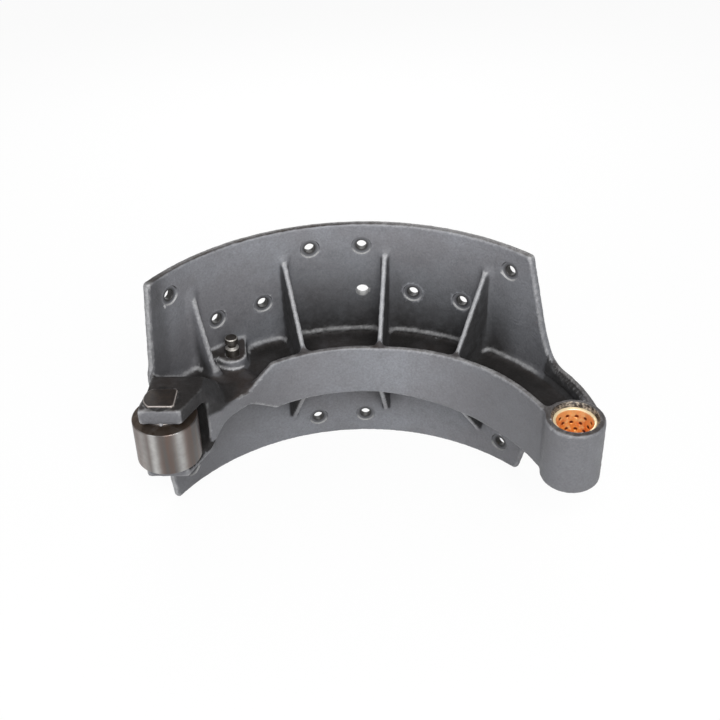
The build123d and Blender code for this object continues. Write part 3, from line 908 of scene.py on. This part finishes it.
def highlightShare(at, values):
    # painted highlights on the table's root fillet, the ribs' front edges, the table's end face and
    # the lug's edges
    root = ease(at.up, *values["root"]) * fade(at.up, *values["rootUp"])
    root = root * ease(at.radial, *values["rootTable"]) * (at.radial < values["rootBack"])
    root = root * within(at.z, 0, values["rootTop"]) * fade(at.bearing, *values["rootEnd"])
    rib = fade(at.sideways, *values["rib"]) * within(at.radial, *values["ribRadii"])
    rib = rib * (np.abs(at.z) > values["ribRoot"]) * within(at.bearing, *values["ribs"])
    rib = rib * np.where(within(at.bearing, *values["firstRib"]), at.z > values["firstRibFrom"], 1)
    rib = rib * np.where(at.z > 0, values["ribShare"], values["ribUnder"])
    first, last, _ = casting["lug"]
    lug = within(at.bearing, first, last) * within(at.radial, *values["lugRadii"])
    lug = lug * within(at.z, *values["lugHeights"]) * ease(at.up, *values["root"])
    lug = lug * fade(at.up, *values["lugUp"])
    end = (at.bearing < values["end"]) * (at.radial > values["endRadius"])
    end = end * ease(at.sideways, *values["endFace"]) * (np.abs(at.z) < values["endHeight"])
    rubbedAndHighlight = np.maximum(values["rootShare"] * root, rib)
    rubbedAndHighlight = np.maximum(rubbedAndHighlight, values["endShare"] * end)
    return np.maximum(rubbedAndHighlight, values["lugShare"] * lug), end


def markCasting(piece, values):
    # what the casting's materials read at each point
    at = surfacePlaces(piece.data)
    dressedEnd = values["dressedFrom"] + values["dressedWidth"]
    dressed = dressedShare(at, values["coat"], dressedEnd)
    # painted highlights on the root fillet, ribs, end face and lug
    rubbedAndHighlight, endFace = highlightShare(at, values["highlight"])
    # painted shade towards the ends and below the upper table, with the dressed slot edge
    darkened = np.maximum(paintedShadeShare(at, values["coat"]), dressed) * (1 - endFace)
    shares = {"shadeAndDressing": darkened, "dirtAndShadeDepth": dirtAndShadeShare(at, values["dirtAndShade"]), "rubbedAndHighlight": rubbedAndHighlight,
              "dressedEdge": dressed}
    for name, share in shares.items():
        shade = piece.data.attributes.new(name, "FLOAT", "POINT")
        shade.data.foreach_set("value", np.clip(share, 0, 1).astype(np.float32))


def addNib(piece, values):
    # what is left of the vent where the metal ran out under the nose
    section = [(0, -1.5), (1.5, -1.5), (1.45, 0.3), (1.1, 1.1), (0.5, 1.5), (0, 1.55)]
    nib = latheMesh("nib", section, 20, closed=False)
    lean = Matrix.Rotation(math.radians(values["nibLean"]), 4, "X")
    nib.transform(forkTurn @ Matrix.Translation(Vector(values["nib"]) * mm) @ lean)
    nib.polygons.foreach_set("use_smooth", [True] * len(nib.polygons))
    bm = bmesh.new()
    bm.from_mesh(piece.data)
    bm.from_mesh(nib)
    bm.to_mesh(piece.data)
    bm.free()
    bpy.data.meshes.remove(nib)


makeCasting(casting)
print("casting made")

# Wrapped bush: bronze strip with rows of grease pockets, closed at a seam.
bush = {
    "bore": 28.0,
    "outside": 32.0,
    "length": 48.4,
    "rimInside": 0.9,
    "rimOutside": 0.5,
    "pocketWidth": 3.3,
    "pocketDeep": 0.55,
    "rowPitch": 5.9,
    "rows": 3,            # each side of the middle one
    "around": 13,
    "plainEnd": 2.5,      # free of grease
    "seamWidth": 0.9,
    "seamAngle": -88.0,
    "seamMiddle": 15.1,   # the cutter's middle and depth: it goes right through the wall
    "seamDeep": 2.6,
}


def makeBush(values):
    half = values["length"] / 2
    inner, outer = values["bore"] / 2, values["outside"] / 2
    inside, outside = values["rimInside"], values["rimOutside"]
    section = roundedProfile([(inner, -half, inside), (outer, -half, outside),
                              (outer, half, outside), (inner, half, inside)])
    piece = makePiece("wrappedBush", latheMesh("wrappedBush", section, 144), "shoe", "anchor_bush",
                      "bronze_bush", bronzeMaterial())
    wide, deep = values["pocketWidth"] / 2, values["pocketDeep"]
    radius = (wide ** 2 + deep ** 2) / (2 * deep)
    reach = inner + deep - radius
    pockets = []
    for row in range(-values["rows"], values["rows"] + 1):
        for step in range(values["around"]):
            turn = 2 * math.pi * (step + 0.5 * (row % 2)) / values["around"]
            bm = bmesh.new()
            bmesh.ops.create_uvsphere(bm, u_segments=16, v_segments=10, radius=radius * mm)
            ball = bpy.data.meshes.new("pocket")
            bm.to_mesh(ball)
            bm.free()
            x, y, z = reach * math.cos(turn), reach * math.sin(turn), row * values["rowPitch"]
            pockets.append((ball, Matrix.Translation(Vector((x, y, z)) * mm)))
    cutAway(piece, joinMeshes("pockets", pockets))
    turn = Matrix.Rotation(math.radians(values["seamAngle"]), 4, "Z")
    place = Matrix.Translation(Vector((values["seamMiddle"], 0, 0)) * mm)
    size = Vector((values["seamDeep"], values["seamWidth"], 60, 1000)) * mm
    bm = bmesh.new()
    bmesh.ops.create_cube(bm, size=1.0, matrix=turn @ place @ Matrix.Diagonal(size))
    seam = bpy.data.meshes.new("seam")
    bm.to_mesh(seam)
    bm.free()
    cutAway(piece, seam)
    points = meshArrays(piece.data)[0]
    share = (np.linalg.norm(points[:, :2], axis=1) / mm - inner) / deep
    inBore = (np.abs(points[:, 2]) < (half - values["plainEnd"]) * mm) & (share < 1.4)
    grease = piece.data.attributes.new("grease", "FLOAT", "POINT")
    grease.data.foreach_set("value", np.clip(np.where(inBore, share, 0), 0, 1).astype(np.float32))
    smoothPiece(piece, 30)


makeBush(bush)
print("bush made")

roller = {
    "radius": 25.0,
    "bore": 14.06,
    "width": 38.2,
    "rim": 1.25,
    "mouth": 0.5,
    # bands of painted reflection: place and half width in degrees, strength
    "reflectionBands": [(-111, 8, 1.0), (-134, 12, 0.5), (-63, 9, 0.85), (35, 12, 0.8), (118, 14, 1.0),
              (172, 9, 0.6)],
}


def makeRoller(values):
    half = values["width"] / 2
    section = roundedProfile([
        (values["bore"], -half, values["mouth"]), (values["radius"], -half, values["rim"]),
        (values["radius"], half, values["rim"]), (values["bore"], half, values["mouth"]),
    ], steps=5)
    mesh = latheMesh("camRoller", section, 160)
    mesh.transform(Matrix.Translation(forkPlace))
    piece = makePiece("camRoller", mesh, "roller", "cam_roller", "ground_steel", rollerMaterial())
    smoothPiece(piece, 35)
    points = meshArrays(mesh)[0]
    turn = np.degrees(np.arctan2(points[:, 1] - forkPlace.y, points[:, 0] - forkPlace.x))
    # painted reflection bands, set by bearing round the roller
    paintedReflection = np.zeros(len(points))
    for place, width, strength in values["reflectionBands"]:
        aside = np.abs((turn - place + 180) % 360 - 180) / width
        paintedReflection = np.maximum(paintedReflection, strength * np.exp(-aside * aside))
    share = mesh.attributes.new("paintedReflection", "FLOAT", "POINT")
    share.data.foreach_set("value", paintedReflection.astype(np.float32))


makeRoller(roller)
print("roller made")

pin = {
    "radius": 14.0,
    "halfFlats": 11.0,
    "sideFlat": 10.6,
    "bottom": -28.6,
    "shoulder": 21.4,
    "top": 36.0,
    "rounding": 1.5,
    "foot": 0.8,
    "step": 0.4,
    "steel": ("#2b2624", "#38302b", "#b3aba6", 0.4),  # dark, brown, and bright for worn edges and painted highlights, metallic
}


def makePin(values):
    shank = latheMesh("pinShank", roundedProfile([
        (0, values["bottom"], 0), (values["radius"], values["bottom"], values["foot"]),
        (values["radius"], values["shoulder"], values["step"]), (0, values["shoulder"], 0),
    ]), 96, closed=False)
    end = pinMesh("pinEnd", values["radius"], values["halfFlats"], values["sideFlat"],
                  values["shoulder"] - 0.5, values["top"], values["rounding"])
    mesh = joinMeshes("rollerPin", [(shank, forkTurn), (end, forkTurn)])
    piece = makePiece("rollerPin", mesh, "shoe", "roller_pin", "oiled_steel",
                      oiledSteelMaterial("oiledMilledSteel", *values["steel"]))
    smoothPiece(piece, 50)


makePin(pin)
print("pin made")

post = {
    "place": (167.6, -32.1),   # mm and degrees from the drum's axis
    "radius": 5.0,
    "neck": 3.6,
    "half": 32.0,
    "grooveLow": 23.5,
    "grooveHigh": 26.0,
    "slope": 1.5,
    "shoulder": 0.4,
    "root": 0.6,
    "head": 0.9,
    "steel": ("#5b5753", "#46403b", "#c4c0ba", 0.8),  # dark, brown, and bright for worn edges and painted highlights, metallic
}


def makePost(values):
    radius, neck = values["radius"], values["neck"]
    low, high = values["grooveLow"], values["grooveHigh"]
    upper = [
        (radius, low - values["slope"], values["shoulder"]), (neck, low, values["root"]),
        (neck, high, values["root"]), (radius, high + values["slope"], values["shoulder"]),
        (radius, values["half"], values["head"]), (0, values["half"], 0),
    ]
    lower = [(x, -z, r) for x, z, r in reversed(upper)]
    mesh = latheMesh("springPost", roundedProfile(lower + upper), 64, closed=False)
    mesh.transform(Matrix.Translation(drumPoint(*values["place"])))
    piece = makePiece("springPost", mesh, "shoe", "spring_post", "post_steel",
                      oiledSteelMaterial("oiledTurnedSteel", *values["steel"]))
    smoothPiece(piece, 40)


makePost(post)
print("post made")

studio = {
    "world": 0.24,
    "inGloss": 0.42,
    "floorSelf": 0.94,      # share of the floor's own white; the rest is lit and takes the shadow
    "floorHalf": 4.0,       # m
    "floorDrop": 0.2,       # mm under the shoe
    "aim": 110,             # mm from the drum's axis, where the lamps point
    "lamps": {
        # place in mm from the drum's axis, width and height in mm, watts, colour
        "key": ((20, -760, 820), 420, 420, 11.2, "#ffffff"),
        "strip": ((330, -830, 560), 90, 620, 2.6, "#ffffff"),
        "side": ((-830, -480, 420), 220, 520, 2.0, "#fbfcff"),
        "back": ((60, 980, 460), 800, 500, 5.0, "#ffffff"),
    },
}


def addLamp(name, aim, place, width, height, watts, colour):
    data = bpy.data.lights.new(name, "AREA")
    data.shape = "RECTANGLE"
    data.size, data.size_y = width * mm, height * mm
    data.energy = watts
    data.color = linear(colour)[:3]
    lamp = bpy.data.objects.new(name, data)
    scene.collection.objects.link(lamp)
    x, y, z = place
    spot = Vector((x - eyeX, y - eyeY, z)) * mm
    turn = (spot - aim).to_track_quat("Z", "Y").to_matrix().to_4x4()
    lamp.matrix_world = Matrix.Translation(spot) @ turn


def seenWhite(tree, inGloss):
    # 1 where the camera sees a thing itself or through glass, less in the gloss of metal
    path = addNode(tree, "LightPath", out=None)
    seen = addNode(tree, "Math", {"operation": "MAXIMUM"},
                   {0: path.outputs["Is Camera Ray"], 1: path.outputs["Is Transmission Ray"]})
    gloss = addNode(tree, "Math", {"operation": "MULTIPLY", 1: inGloss},
                    {0: path.outputs["Is Glossy Ray"]})
    return addNode(tree, "Math", {"operation": "MAXIMUM"}, {0: seen, 1: gloss})


def makeStudio(values):
    world = bpy.data.worlds.new("studio")
    scene.world = world
    world.use_nodes = True
    tree = world.node_tree
    seen = seenWhite(tree, values["inGloss"])
    strength = addNode(tree, "Math", {"operation": "MAXIMUM", 1: values["world"]}, {0: seen})
    tree.nodes["Background"].inputs["Color"].default_value = (1, 1, 1, 1)
    tree.links.new(strength, tree.nodes["Background"].inputs["Strength"])
    for name, lamp in values["lamps"].items():
        addLamp(name, drumPoint(values["aim"], 0), *lamp)
    mesh = bpy.data.meshes.new("floor")
    half, level = values["floorHalf"], cadBounds[0][2] - values["floorDrop"] * mm
    corners = [(x * half, y * half, level) for x, y in ((-1, -1), (1, -1), (1, 1), (-1, 1))]
    mesh.from_pydata(corners, [], [(0, 1, 2, 3)])
    floor = bpy.data.objects.new("floor", mesh)
    scene.collection.objects.link(floor)
    # Matt white paper: an even pale ground that keeps a soft shadow.
    material, tree = newMaterial("paperFloor", {}, {}, Base_Color=linear("#f4f4f4"),
                                 Roughness=0.9)[:2]
    glow = addNode(tree, "Emission", {"Color": (1, 1, 1, 1), "Strength": 1.0})
    share = addNode(tree, "Math", {"operation": "MULTIPLY", 1: values["floorSelf"]},
                    {0: seenWhite(tree, values["inGloss"])})
    lit = tree.nodes["Principled BSDF"].outputs[0]
    mixed = addNode(tree, "MixShader", None, {0: share, 1: lit, 2: glow})
    tree.links.new(mixed, tree.nodes["Material Output"].inputs["Surface"])
    mesh.materials.append(material)


makeStudio(studio)
print("studio lit")
